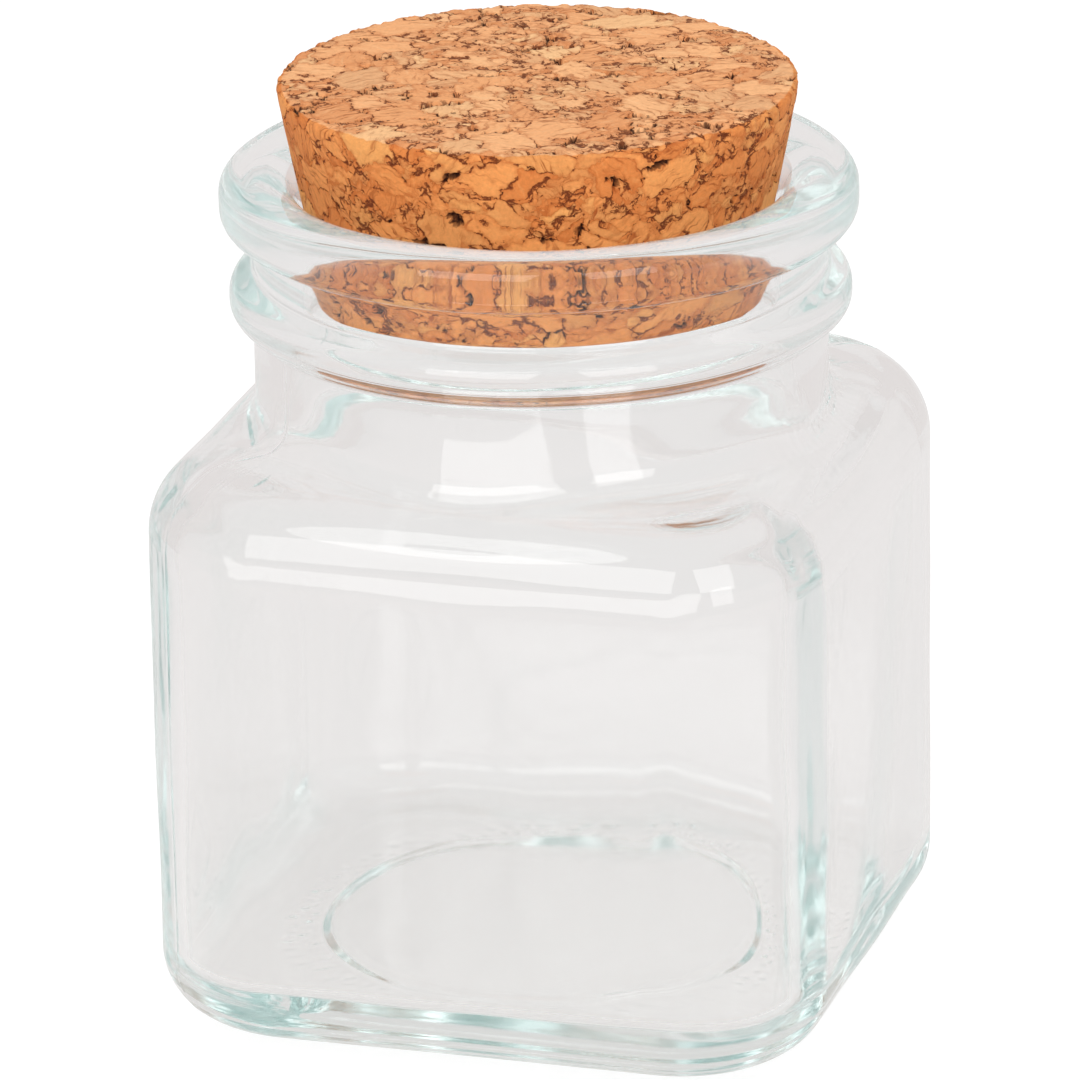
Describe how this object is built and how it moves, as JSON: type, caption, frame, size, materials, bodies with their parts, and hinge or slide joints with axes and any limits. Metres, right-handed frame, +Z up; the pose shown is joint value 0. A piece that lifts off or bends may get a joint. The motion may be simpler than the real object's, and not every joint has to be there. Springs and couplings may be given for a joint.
{
  "type": "glass jar with cork stopper",
  "caption": "Square clear glass storage jar with rounded shoulders, a round neck with beaded rings, and a tapered cork stopper that lifts straight out of the mouth.",
  "frame": {"origin": "centre of the base, on the surface that the jar stands on", "axes": "+Z up along the axis of neck and cork; +X and +Y square to the flat sides of the body"},
  "size_m": [0.055, 0.055, 0.0745],
  "materials": {
    "clear_glass": "polished",
    "cork": "matte"
  },
  "bodies": {
    "jar": {"glass_jar": "clear_glass"},
    "cork": {"cork_stopper": "cork"}
  },
  "joints": [
    {"name": "cork_lift", "type": "slide", "parent": "jar", "child": "cork", "axis": [0, 0, 1], "range_m": [0, 0.05]}
  ]
}
